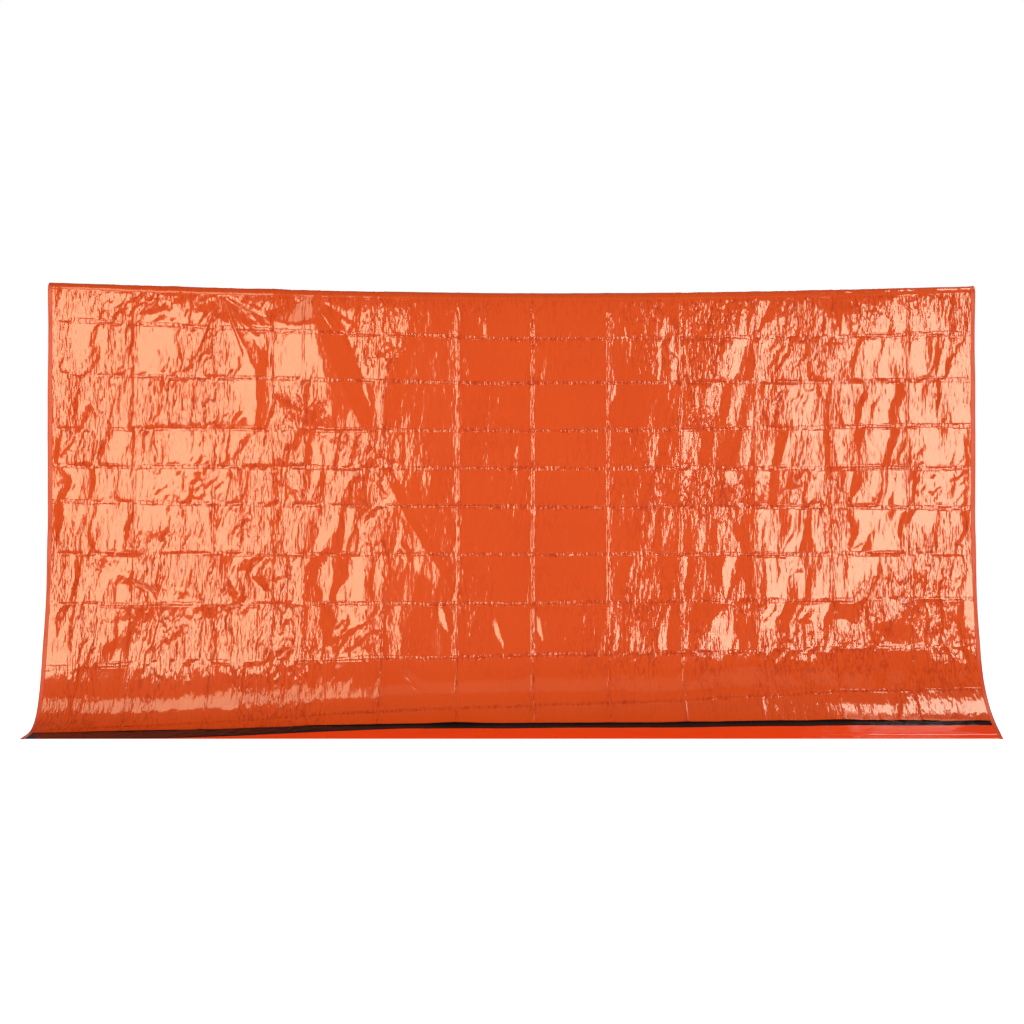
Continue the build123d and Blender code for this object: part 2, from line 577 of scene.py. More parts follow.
def front_drapes() -> tuple[Drape, ...]:
    """The long folds that the front film falls into below the bar.

    Returns:
        The folds, from the largest to the smallest.
    """
    first = Drape(
        path=((-0.629, 0.0), (-0.602, 0.051), (-0.573, 0.120), (-0.553, 0.165), (-0.547, 0.229),
              (-0.556, 0.294), (-0.528, 0.370)),
        height=0.0046, left=0.085, right=0.042, calm=0.6, fade=0.16,
    )
    second = Drape(
        path=((-0.435, 0.0), (-0.412, 0.072), (-0.377, 0.163), (-0.323, 0.281), (-0.280, 0.370)),
        height=0.0056, left=0.260, right=0.054, calm=0.85, grow=0.07, fade=0.18,
    )
    apron = Drape(
        path=((-0.437, 0.0), (-0.412, 0.120), (-0.390, 0.240), (-0.345, 0.400)),
        height=0.0034, left=0.120, right=0.066, calm=0.4, grow=0.06, fade=0.22,
    )
    trail = Drape(
        path=((-0.323, 0.281), (-0.267, 0.395), (-0.205, 0.512), (-0.120, 0.647)),
        height=0.0030, left=0.060, right=0.020, calm=0.4, grow=0.12, fade=0.08,
    )
    hooked = Drape(
        path=((-0.827, 0.605), (-0.770, 0.638), (-0.762, 0.660), (-0.764, 0.700), (-0.790, 0.782)),
        height=0.0030, left=0.045, right=0.016, calm=0.4, grow=0.02,
    )
    blades = (
        (-0.032, 0.681, -0.012, 0.774, 0.0016),
        (-0.098, 0.110, -0.086, 0.190, 0.0009),
        (-0.052, 0.030, -0.044, 0.120, 0.0009),
        (0.082, 0.110, 0.068, 0.200, 0.0008),
        (0.020, 0.300, 0.014, 0.420, 0.0008),
        (0.118, 0.480, 0.130, 0.580, 0.0009),
        (-0.235, 0.790, -0.190, 0.862, 0.0022),
        (0.062, 0.672, 0.072, 0.760, 0.0016),
        (0.820, 0.770, 0.875, 0.875, 0.0024),
        (0.752, 0.790, 0.782, 0.850, 0.0018),
        (0.590, 0.765, 0.613, 0.856, 0.0014),
        (0.532, 0.806, 0.560, 0.880, 0.0012),
        (-0.240, 0.520, -0.216, 0.590, 0.0014),
        (-0.150, 0.655, -0.128, 0.735, 0.0016),
    )
    short = tuple(
        Drape(path=((x0, s0), (x1, s1)), height=h, left=0.012, right=0.016, calm=0.2, grow=0.03)
        for x0, s0, x1, s1, h in blades
    )
    return (second, apron, trail, first, hooked, *short)


def front_fans() -> tuple[Fan, ...]:
    """The pleats under the bar, at the two long folds and by some fold lines.

    Returns:
        The fans.
    """
    return (
        Fan(-0.629, -0.004, 0.17, 9.0, 0.0022, lean=0.35, spread=1.0),
        Fan(-0.435, -0.004, 0.15, 8.0, 0.0018, lean=0.55, spread=0.7),
        Fan(-0.278, -0.002, 0.06, 5.0, 0.0007, spread=0.6),
        Fan(-0.116, -0.002, 0.07, 5.0, 0.0010, spread=0.7),
        Fan(0.045, -0.002, 0.08, 5.0, 0.0012, spread=0.5),
        Fan(0.207, -0.002, 0.06, 5.0, 0.0009, spread=0.6),
        Fan(0.364, -0.002, 0.07, 5.0, 0.0009, spread=0.7),
        Fan(0.690, -0.002, 0.07, 6.0, 0.0008, spread=0.6),
    )


# ---- Shaders ----


@dataclass
class Value:
    """A number inside a shader, which takes part in sums."""

    tree: bpy.types.NodeTree
    socket: Socket

    def _math(self, operation: str, other: "Value | float" = 0.0, flip: bool = False) -> "Value":
        """Adds one Math node.

        Args:
            operation: the node's operation.
            other: its other value.
            flip: whether the other value comes first.

        Returns:
            The node's result.
        """
        node = self.tree.nodes.new("ShaderNodeMath")
        node.operation = operation
        for slot, item in enumerate((other, self) if flip else (self, other)):
            if isinstance(item, Value):
                self.tree.links.new(item.socket, node.inputs[slot])
            else:
                node.inputs[slot].default_value = float(item)
        return Value(self.tree, node.outputs[0])

    __add__ = __radd__ = partialmethod(_math, "ADD")
    __mul__ = __rmul__ = partialmethod(_math, "MULTIPLY")
    __sub__ = partialmethod(_math, "SUBTRACT")
    __rsub__ = partialmethod(_math, "SUBTRACT", flip=True)
    __truediv__ = partialmethod(_math, "DIVIDE")
    __abs__ = partialmethod(_math, "ABSOLUTE")
    at_most = partialmethod(_math, "MINIMUM")
    at_least = partialmethod(_math, "MAXIMUM")


class Shader:
    """A material under construction, with its flat film coordinates at hand."""

    def __init__(self, name: str) -> None:
        """Starts an empty material.

        Args:
            name: the material's name.
        """
        self.material = bpy.data.materials.new(name)
        self.material.use_nodes = True
        self.tree = self.material.node_tree
        self.tree.nodes.clear()
        self.surface = self.tree.nodes.new("ShaderNodeBsdfPrincipled")
        self.output = self.tree.nodes.new("ShaderNodeOutputMaterial")
        self.tree.links.new(self.surface.outputs[0], self.output.inputs["Surface"])
        self.flat = self.tree.nodes.new("ShaderNodeTexCoord").outputs["UV"]

    def node(self, kind: str, settings: dict | None = None, **inputs: object) -> bpy.types.Node:
        """Adds one node.

        Args:
            kind: the node's type.
            settings: the node's own settings, set before its sockets.
            inputs: values or links of its sockets, with _ for a space in a socket's name.

        Returns:
            The node.
        """
        node = self.tree.nodes.new(kind)
        for key, value in (settings or {}).items():
            setattr(node, key, value)
        for key, value in inputs.items():
            socket = node.inputs[key.replace("_", " ")]
            if isinstance(value, Value):
                self.tree.links.new(value.socket, socket)
            elif isinstance(value, Socket):
                self.tree.links.new(value, socket)
            else:
                socket.default_value = value
        return node

    def stretched(self, across: float, along: float) -> Socket:
        """Film coordinates scaled so that one unit is one grain of a pattern."""
        scale = (1 / across, 1 / along, 1.0)
        return self.node("ShaderNodeMapping", Vector=self.flat, Scale=scale).outputs["Vector"]

    def noise(self, across: float, along: float, detail: float = 2.0, seed: float = 0.0) -> Value:
        """Cloudy noise of a grain size.

        Args:
            across: grain width in metres.
            along: grain length in metres.
            detail: octaves of finer noise.
            seed: which slice of the noise.

        Returns:
            Numbers around 0.5.
        """
        node = self.node("ShaderNodeTexNoise", {"noise_dimensions": "4D"}, W=seed, Scale=1.0,
                         Vector=self.stretched(across, along), Detail=detail)
        return Value(self.tree, node.outputs[0])

    def cracks(self, across: float, along: float, seed: float = 0.0) -> Value:
        """Distance from the edges of random cells, which is zero on a net of sharp lines.

        Args:
            across: cell width in metres.
            along: cell length in metres.
            seed: which of the random nets.

        Returns:
            Numbers from 0 on the lines.
        """
        place = self.stretched(across, along)
        settings = {"voronoi_dimensions": "4D", "feature": "F1"}
        node = self.node("ShaderNodeTexVoronoi", settings, Vector=place, W=seed, Scale=1.0)
        return Value(self.tree, node.outputs["Distance"])

    def attribute(self, name: str) -> Value:
        """A number that the piece's mesh carries."""
        node = self.node("ShaderNodeAttribute", {"attribute_name": name})
        return Value(self.tree, node.outputs["Fac"])

    def blend(self, share: Value, *colours: "Triple | Socket") -> Socket:
        """Mixes two colours.

        Args:
            share: from 0 for the first to 1 for the second.
            colours: the two colours, each a linear colour or the colour of another node.

        Returns:
            The mixed colour.
        """
        node = self.node("ShaderNodeMix", {"data_type": "RGBA"})
        self.tree.links.new(share.socket, node.inputs[0])
        for slot, colour in zip((6, 7), colours):
            if isinstance(colour, tuple):
                node.inputs[slot].default_value = (*colour, 1.0)
            else:
                self.tree.links.new(colour, node.inputs[slot])
        return node.outputs[2]

    def relief(self, height: Value) -> None:
        """Raises the surface by a height in metres."""
        bump = self.node("ShaderNodeBump", Height=height, Strength=1.0, Distance=1.0)
        self.tree.links.new(bump.outputs[0], self.surface.inputs["Normal"])

    def link(self, socket: str, source: "Value | Socket") -> None:
        """Feeds one socket of the surface."""
        out = source.socket if isinstance(source, Value) else source
        self.tree.links.new(out, self.surface.inputs[socket])

    def set(self, **inputs: object) -> None:
        """Sets plain values on the surface's sockets."""
        for key, value in inputs.items():
            self.surface.inputs[key.replace("_", " ")].default_value = value


@dataclass(frozen=True)
class OrangeFilm:
    """Glossy orange outer film with a fine vertical crinkle, with painted shade in the crinkle's
    grooves and along the fold lines.
    """

    name: str = "orange_film"
    colour: Triple = (0.57, 0.064, 0.0078)
    deep: Triple = (0.51, 0.050, 0.0060)
    gloss: Rgba = (1.0, 0.90, 0.64, 1.0)
    bounce: float = 1.62
    roughness: float = 0.065
    haze: float = 0.10
    # painted shade colour, which the film is blended towards in the crinkle's grooves and along the
    # fold lines
    painted_shade_colour: Triple = (0.34, 0.022, 0.003)
    # groove and shade: width and strength of the painted shade in the crinkle's grooves
    groove: float = 0.042
    shade: float = 0.85
    # strength of the painted shade along the fold lines
    crease_shade: float = 0.34
    crinkle: float = 0.00075
    grain: float = 0.000012

    def build(self) -> Material:
        """Makes the material.

        Returns:
            The material.
        """
        shader = Shader(self.name)
        shader.set(IOR=self.bounce, Specular_Tint=self.gloss)
        shader.set(Coat_Weight=self.haze, Coat_Roughness=0.38, Coat_Tint=self.gloss)
        tone = shader.noise(0.16, 0.22, 2.0, 3.0)
        rough = shader.noise(0.02, 0.05, 2.0, 8.0)
        shader.link("Roughness", self.roughness + 0.04 * rough)
        crumple = shader.attribute("crumple")
        busy = crumple.at_most(1.0)
        # painted shade along the fold lines, from the crumple share above 1
        crease_shade = (crumple - 1.0).at_least(0.0) * self.crease_shade
        streak = abs(shader.noise(0.010, 0.045, 2.0, 1.0) - 0.5)
        # painted shade: the colour goes deeper where the streak noise is lowest, in the grooves that
        # the same streaks cut into the bump
        groove = (1.0 - streak / self.groove).at_least(0.0) * busy
        paint = shader.blend(groove * self.shade, shader.blend(tone, self.colour, self.deep),
                             self.painted_shade_colour)
        paint = shader.blend(crease_shade, paint, self.painted_shade_colour)
        shader.link("Base Color", paint)
        net = shader.cracks(0.008, 0.016, 5.0)
        dust = shader.noise(0.003, 0.005, 1.0, 6.0)
        height = self.crinkle * (3.0 * streak + 0.9 * net) * (0.12 + 0.88 * busy)
        shader.relief(height + self.grain * dust)
        return shader.material


@dataclass(frozen=True)
class PaintedReflectionLining:
    """Glossy inner face of the film, crumpled all over, painted near-black: a painted reflection of
    an unlit room in the silver inner face.
    """

    name: str = "dark_lining"
    # painted reflection: near-black and brown-black stand for an unlit room mirrored in the silver
    # face
    colour: Triple = (0.022, 0.012, 0.011)
    brown: Triple = (0.010, 0.006, 0.005)
    glint: Rgba = (0.50, 0.82, 1.0, 1.0)
    crinkle: float = 0.00035

    def build(self) -> Material:
        """Makes the material.

        Returns:
            The material.
        """
        shader = Shader(self.name)
        shader.set(IOR=1.20, Specular_Tint=self.glint)
        tone = shader.noise(0.12, 0.08, 2.0, 2.0)
        # painted reflection: the two near-black tones, mixed at random, stand in for the silver
        # face's mirror image of an unlit room
        shader.link("Base Color", shader.blend(tone, self.brown, self.colour))
        shader.link("Roughness", 0.12 + 0.10 * shader.noise(0.03, 0.03, 2.0, 4.0))
        busy = shader.attribute("crumple").at_most(1.0)
        net = shader.cracks(0.011, 0.012, 1.5)
        ridge = abs(shader.noise(0.016, 0.020, 2.0, 9.0) - 0.5)
        shader.relief(self.crinkle * (0.15 + 0.85 * busy) * (0.7 * net + 2.0 * ridge))
        return shader.material


@dataclass(frozen=True)
class SealedFilm:
    """Orange film pressed together by a heated bar, with a fine row of dots."""

    name: str = "sealed_film"
    colour: Triple = (0.56, 0.055, 0.013)
    deep: Triple = (0.44, 0.035, 0.008)
    dot: float = 0.0022
    depth: float = 0.00010

    def build(self) -> Material:
        """Makes the material.

        Returns:
            The material.
        """
        shader = Shader(self.name)
        shader.set(IOR=1.5)
        settings = {"voronoi_dimensions": "2D", "feature": "F1"}
        place = shader.stretched(self.dot, self.dot)
        dots = shader.node("ShaderNodeTexVoronoi", settings, Vector=place, Scale=1.0, Randomness=0.0)
        press = Value(shader.tree, dots.outputs["Distance"]).at_most(0.45)
        shader.set(Specular_Tint=(1.0, 0.80, 0.55, 1.0))
        tone = shader.noise(0.01, 0.06, 2.0, 2.0)
        shader.link("Base Color", shader.blend(tone, self.colour, self.deep))
        shader.link("Roughness", 0.30 + 0.20 * shader.noise(0.006, 0.03, 2.0, 5.0))
        ripple = abs(shader.noise(0.02, 0.012, 2.0, 7.0) - 0.5)
        shader.relief(self.depth * press + 0.0005 * ripple)
        return shader.material


@dataclass(frozen=True)
class HemFilm:
    """Outer film turned over the mouth edge, pulled flatter than the panels, with its orange painted
    lighter than the panels' film as painted light.
    """

    name: str = "hem_film"
    # painted light: the panels' orange made lighter, to brighten the upward-facing hem and mouth fold
    # that the lamps light less
    colour: Triple = (0.76, 0.052, 0.006)
    deep: Triple = (0.66, 0.040, 0.005)
    ripple: float = 0.0002

    def build(self) -> Material:
        """Makes the material.

        Returns:
            The material.
        """
        shader = Shader(self.name)
        shader.set(IOR=1.5)
        tone = shader.noise(0.10, 0.02, 2.0, 2.0)
        shader.link("Base Color", shader.blend(tone, self.colour, self.deep))
        shader.link("Roughness", 0.10 + 0.08 * shader.noise(0.03, 0.01, 2.0, 5.0))
        busy = shader.attribute("crumple")
        wave = abs(shader.noise(0.030, 0.008, 2.0, 7.0) - 0.5)
        net = shader.cracks(0.014, 0.010, 2.0)
        shader.relief(self.ripple * (0.3 + 0.7 * busy) * (1.5 * wave + 0.5 * net))
        return shader.material


# ---- Making pieces ----


class Facing(Enum):
    """Which way a sheet's shown side looks."""

    OUT = "front"
    BACK = "back"


@dataclass
class Piece:
    """A finished piece and what is said of it."""

    obj: bpy.types.Object
    across: Pair
    along: Pair

    @property
    def size(self) -> Pair:
        """Flat width and length."""
        return self.across[1] - self.across[0], self.along[1] - self.along[0]


def lay_film(
    name: str,
    across: Pair,
    along: Pair,
    cell: Pair,
    shape: Shape,
    finish: Material,
    facing: Facing = Facing.OUT,
) -> Piece:
    """Makes one piece of film from its flat shape.

    Args:
        name: the piece's name.
        across: from and to, across the sack.
        along: from and to, along its path.
        cell: size of the grid's cells.
        shape: gives x, y, z and crumple of flat places.
        finish: its material.
        facing: which side shows.

    Returns:
        The piece.
    """
    columns = max(2, round((across[1] - across[0]) / cell[0]))
    rows = max(2, round((along[1] - along[0]) / cell[1]))
    bpy.ops.object.select_all(action="DESELECT")
    bpy.ops.mesh.primitive_grid_add(x_subdivisions=columns, y_subdivisions=rows, size=1.0)
    obj = bpy.context.active_object
    mesh = obj.data
    obj.name = mesh.name = name
    flat = np.empty(len(mesh.vertices) * 3)
    mesh.vertices.foreach_get("co", flat)
    flat = flat.reshape(-1, 3)
    x = across[0] + (flat[:, 0] + 0.5) * (across[1] - across[0])
    down = 0.5 - flat[:, 1] if facing is Facing.OUT else 0.5 + flat[:, 1]
    s = along[0] + down * (along[1] - along[0])
    *place, crumple = shape(x, s)
    mesh.vertices.foreach_set("co", np.column_stack(place).ravel())
    corner = np.empty(len(mesh.loops), dtype=np.int64)
    mesh.loops.foreach_get("vertex_index", corner)
    sheet_map = np.column_stack((x[corner], -s[corner])).ravel()
    mesh.uv_layers[0].data.foreach_set("uv", sheet_map)
    share = np.broadcast_to(crumple, x.shape).astype(np.float32)
    # on the front film the crumple share above 1 also carries the painted shade of the fold lines
    mesh.attributes.new("crumple", "FLOAT", "POINT").data.foreach_set("value", share)
    mesh.polygons.foreach_set("use_smooth", np.ones(len(mesh.polygons), dtype=bool))
    mesh.materials.append(finish)
    mesh.update()
    return Piece(obj, across, along)


def tie(piece: Piece, body: str, nodes: tuple[str, ...] = ()) -> None:
    """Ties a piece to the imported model.

    Args:
        piece: the piece.
        body: the body it moves with, or blend for the opening mouth.
        nodes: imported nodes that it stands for.
    """
    if body == "blend":
        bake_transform(piece.obj)
    else:
        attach(piece.obj, body)
    if nodes:
        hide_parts(*nodes)
    log.info("%s: %d faces, %.3f x %.3f m", piece.obj.name, len(piece.obj.data.polygons),
             *piece.size)


@dataclass
class Sack:
    """Shape of the two panels, shared by every piece of film.

    The methods that shape a film take flat places x across and s along the path, and return x, y,
    z and the share of crumple.
    """

    hang: Hang = field(default_factory=Hang)
    top_gap: float = 0.0027
    deep_gap: float = 0.0085
    mouth_gap: float = 0.0035
    shoulder: float = 0.006
    bulge_run: float = 0.050
    seam_gap: float = 0.0009
    taper: float = 0.24
    film_floor: float = 0.36
    front_floor: float = 0.30
    back_floor: float = 0.24
    bump: float = 0.0035
    bump_x: float = -0.115
    bump_width: float = 0.05
    lining_gap: float = 0.0004
    floor_gap: float = 0.0004
    deepest: float = 0.003
    wrap_tall: Layer = Layer((0.022, 0.07), 1.0, 0, (0.4, 0.0))
    wrap_wide: Layer = Layer((0.075, 0.09), 0.0014, 2)
    wrap_rib: Fold = Fold(0.0006, 0.003)

    def __post_init__(self) -> None:
        """Sets up the fold lines of both panels."""
        self.front = Folds(self.hang, drapes=front_drapes(), fans=front_fans(), seed=11)
        self.back = Folds(self.hang, seed=211)

    @property
    def wide(self) -> Pair:
        """From the left seam to the right one."""
        return -SEAM_LINE, SEAM_LINE

    def gap(self, x: Array, s: Array) -> Array:
        """Distance of the front film from the back film's outer face.

        Args:
            x: places across.
            s: places on the path.

        Returns:
            Gaps, closed up at the side seams.
        """
        bulge = 1 - np.exp(-np.clip(s + self.shoulder, 0, None) / self.bulge_run)
        mid = self.top_gap + (self.deep_gap - self.top_gap) * bulge
        edge = self.hang.front_edge
        mid = mid + (self.mouth_gap - mid) * step(edge - 0.14, edge, s)
        return self.seam_gap + (mid - self.seam_gap) * step(0.0, self.taper, self.inward(x))

    def inward(self, x: Array) -> Array:
        """Distance from the nearer side seam."""
        return SEAM_LINE - np.abs(x)

    def inset(self, x: Array) -> Array:
        """How free the film is of the side seams, from 0 at a seam to 1."""
        return step(-0.001, 0.022, self.inward(x))

    def put(self, x: Array, s: Array, lift: Array) -> tuple[Array, Array, Array]:
        """Places film off the hanging profile.

        Args:
            x: places across.
            s: places on the path.
            lift: heights off the back film's outer face.

        Returns:
            x, y and z.
        """
        y, z = self.hang.place(s, lift)
        z = self.hang.settle(x, s, z + self.hang.droop(x, s))
        return x, y, np.maximum(z, -self.hang.bar_height + self.floor_gap)

    def front_lift(self, x: Array, s: Array) -> tuple[Array, Array]:
        """Height of the front film over the path, and its crumple.

        Args:
            x: places across.
            s: places on the path.

        Returns:
            Heights, never lower than the linings, and the fine crinkle's share.
        """
        relief, busy = self.front.relief(x, s)
        gap = self.gap(x, s)
        edge = self.hang.front_edge
        across = ((x - self.bump_x) / self.bump_width) ** 2
        bump = self.bump * np.exp(-across) * step(edge - 0.05, edge, s)
        relief = relief * self.inset(x) * step(-0.030, -0.002, s)
        return np.maximum(gap + relief + bump, self.film_floor * gap), busy

    def front_film(self, x: Array, s: Array) -> Places:
        """Shapes the front film."""
        lift, busy = self.front_lift(x, s)
        return *self.put(x, s, lift), busy

    def front_lining(self, x: Array, s: Array) -> Places:
        """Shapes the lining behind the front film, which meets the film at its edge."""
        film, busy = self.front_lift(x, s)
        edge = self.hang.front_edge
        share = step(edge - 0.08, edge - 0.02, s)
        lift = self.front_floor * self.gap(x, s) * (1 - share) + (film - self.lining_gap) * share
        return *self.put(x, s, lift), busy

    def wrap(self, x: Array, s: Array, lift: float, seed: int) -> Places:
        """Shapes film wrapped over the bar and hanging behind it.

        Args:
            x: places across.
            s: places on the path.
            lift: height off the path. The outer ply follows the front film instead.
            seed: which random pattern.

        Returns:
            x, y, z and crumple.
        """
        behind = step(-self.hang.over_bar + 0.004, -self.hang.over_bar - 0.05, s)
        off_bar = step(0.0, -0.02, s)
        bends = (swells(x / 0.05, s / 0.03, seed), 0.0)
        tall = replace(self.wrap_tall, seed=seed).relief(x, s, bends)
        broad = replace(self.wrap_wide, seed=seed + 2).relief(x, s)
        column = np.abs(x[None, :] - np.array(self.front.columns)[:, None]).min(axis=0)
        rib = self.wrap_rib.relief(column) * off_bar
        relief = (0.00025 * off_bar + 0.0007 * behind) * tall + behind * broad + rib
        relief = relief * self.inset(x)
        outer = lift > self.seam_gap
        near = self.front_lift(x, s)[0] if outer else np.minimum(lift, self.gap(x, s))
        return *self.put(x, s, np.maximum(near + relief, 0.2 * near)), 0.25 + 0.6 * behind

    def back_film(self, x: Array, s: Array, share: float = 0.0, depth: float = 1.0) -> Places:
        """Shapes the back film and its lining.

        Args:
            x: places across.
            s: places on the path.
            share: height off the path, as a share of the gap between the panels.
            depth: how much of the back film's relief it has.

        Returns:
            x, y, z and crumple.
        """
        relief, busy = self.back.relief(x, s)
        relief = depth * np.clip(relief, -self.deepest, self.deepest) * self.inset(x)
        relief = relief * step(self.hang.fold, self.hang.fold - 0.03, s)
        relief = -np.abs(relief) * step(0, 0.02, s)
        return *self.put(x, s, share * self.gap(x, s) + relief), busy


@dataclass
class FrontPanel:
    """Front film in four widths that meet on fold lines, its lining and its lip."""

    sack: Sack
    finish: Material
    lining: Material
    cuts: tuple[float, ...] = (-SEAM_LINE, -0.515, MOUTH_MIDDLE, 0.526, SEAM_LINE)
    cell: Pair = (0.00215, 0.0026)
    quick_cell: Pair = (0.0060, 0.0060)
    lining_cell: Pair = (0.0055, 0.0055)
    lip_cell: Pair = (0.0035, 0.001)
    lining_start: float = 0.004
    lip_width: float = 0.004
    lip_rise: float = 0.0005
    lip_roll: float = 1.6

    def build(self) -> None:
        """Lays the film, the lining and the lip."""
        edge = self.sack.hang.front_edge
        cell = self.cell
        for k, across in enumerate(zip(self.cuts[:-1], self.cuts[1:]), start=1):
            film = lay_film(f"front_film_{k}", across, (0.0, edge), cell, self.sack.front_film,
                            self.finish)
            tie(film, "blend", ("front_panel_film",) if k == 1 else ())
        halves = ((self.cuts[0], self.cuts[2]), (self.cuts[2], self.cuts[-1]))
        for k, across in enumerate(halves, start=1):
            inner = lay_film(f"front_lining_{k}", across, (self.lining_start, edge),
                             self.lining_cell, self.sack.front_lining, self.lining, Facing.BACK)
            tie(inner, "blend", ("front_panel_lining",) if k == 1 else ())
            along = (edge - self.lip_width, edge + 0.5 * self.lip_width)
            lip = lay_film(f"front_lip_{k}", across, along, self.lip_cell, self.lip, self.finish)
            tie(lip, "blend", ("front_lip",) if k == 1 else ())

    def lip(self, x: Array, s: Array) -> Places:
        """Shapes the front panel's cut edge, which rolls up slightly."""
        edge = self.sack.hang.front_edge
        px, py, pz, busy = self.sack.front_film(x, np.minimum(s, edge))
        roll = np.clip((s - edge + self.lip_width) / self.lip_width, 0, self.lip_roll)
        py = py - np.clip(s - edge, 0, None) * 0.7
        return px, py, pz + self.lip_rise * np.sin(roll * math.pi / self.lip_roll), busy


@dataclass
class BackPanel:
    """Back film with its lining, painted near-black as a painted reflection, the turned-up hem and
    the mouth fold.
    """

    sack: Sack
    finish: Material
    lining: Material
    painted_light_hem_film: Material
    cell: Pair = (0.0056, 0.0056)
    lining_cell: Pair = (0.0062, 0.0062)
    mouth_cell: Pair = (0.0028, 0.0028)
    hem_cell: Pair = (0.0035, 0.0026)
    fold_cell: Pair = (0.006, 0.0005)
    lining_start: float = 0.004
    lining_depth: float = 0.3
    strip: float = 0.150
    hem: float = 0.047
    hem_lift: float = 0.0019
    ridge: float = 0.0013
    ridge_place: float = 0.016
    ridge_width: float = 0.0022
    fold_radius: float = 0.0011
    end_rise: float = 0.0010
    open_rise: float = 0.0022
    coarse: Layer = Layer((0.018, 0.011), 0.7, 401)
    small: Layer = Layer((0.007, 0.006), 0.4, 403)
    open_coarse: Layer = Layer((0.012, 0.008), 0.7, 407)
    open_small: Layer = Layer((0.007, 0.006), 0.4, 409)
    hem_wave: Layer = Layer((0.030, 0.020), 0.00035, 433)

    def build(self) -> None:
        """Lays the film, the lining, the hem and the fold."""
        sack = self.sack
        fold = sack.hang.fold
        cut = fold - self.strip
        film = lay_film("back_film", sack.wide, (0.0, fold), self.cell, sack.back_film,
                        self.finish, Facing.BACK)
        tie(film, "back", ("back_panel_film",))
        hidden = partial(sack.back_film, share=sack.back_floor, depth=self.lining_depth)
        inner = lay_film("back_lining", sack.wide, (self.lining_start, cut), self.lining_cell,
                         hidden, self.lining)
        tie(inner, "back", ("back_panel_lining",))
        mouth = lay_film("mouth_lining", sack.wide, (cut, fold), self.mouth_cell,
                         self.mouth_lining, self.lining)
        tie(mouth, "back")
        hem = lay_film("mouth_hem", sack.wide, (fold - self.hem, fold), self.hem_cell,
                       self.hem_film, self.painted_light_hem_film)
        tie(hem, "back", ("turned_up_hem",))
        around = (0.0, math.pi * self.fold_radius)
        bend = lay_film("mouth_fold_film", sack.wide, around, self.fold_cell, self.mouth_fold,
                        self.painted_light_hem_film)
        tie(bend, "back", ("mouth_fold",))

    def hem_share(self, x: Array) -> Array:
        """Share of the hem's width that shows, almost none where it is tucked under."""
        return np.interp(x, (-1.0, -0.72, -0.40, -0.24, 1.0), (0.02, 0.04, 0.70, 0.95, 1.0))

    def mouth_lining(self, x: Array, s: Array) -> Places:
        """Shapes the lining that shows at the mouth, crumpled where it lies open."""
        edge = self.sack.hang.front_edge
        fold = self.sack.hang.fold
        ends = np.maximum(step(-0.28, -0.40, x), step(0.66, 0.80, x))
        open_end = step(-0.74, -0.62, x) * step(-0.34, -0.42, x)
        under_hem = self.hem * self.hem_share(x)
        fade = step(0.0, 0.04, self.sack.inward(x)) * step(edge, edge + 0.005, s)
        fade = fade * step(under_hem, under_hem + 0.006, fold - s)
        rise = self.coarse.relief(x, s) + self.small.relief(x, s)
        lift = self.sack.back_floor * self.sack.gap(x, s)
        lift = lift + (0.0002 + self.end_rise * ends) * (1 + 0.9 * rise) * fade
        rise = self.open_coarse.relief(x, s) + self.open_small.relief(x, s)
        lift = lift + self.open_rise * open_end * (1 + 0.9 * rise) * fade
        return *self.sack.put(x, s, lift), 0.15 + 0.85 * ends

    def hem_film(self, x: Array, s: Array) -> Places:
        """Shapes the hem, which narrows to nothing where it is tucked under at the left."""
        fold = self.sack.hang.fold
        wave = 1 + 0.02 * swells(x / 0.12, x * 0, 431)
        down = (fold - s) * self.hem_share(x) * wave
        across = ((down - self.ridge_place) / self.ridge_width) ** 2
        ridge = self.ridge * np.exp(-across) * step(0.55, 0.68, x)
        rise = self.hem_wave.relief(x, s)
        lift = self.hem_lift + ridge + rise * self.sack.inset(x)
        return *self.sack.put(x, fold - down, lift), 0.25 + 0.75 * step(0.5, 0.8, x)

    def mouth_fold(self, x: Array, s: Array) -> Places:
        """Shapes the half round fold that joins back film and hem along the floor."""
        hang = self.sack.hang
        bend = s / self.fold_radius
        at = np.full_like(s, hang.fold)
        px, py, pz = self.sack.put(x, at, self.fold_radius * (1 + np.cos(bend)))
        py = py - self.fold_radius * np.sin(bend) * math.sin(hang.floor_turn)
        return px, py, np.maximum(pz, -hang.bar_height), 0.3


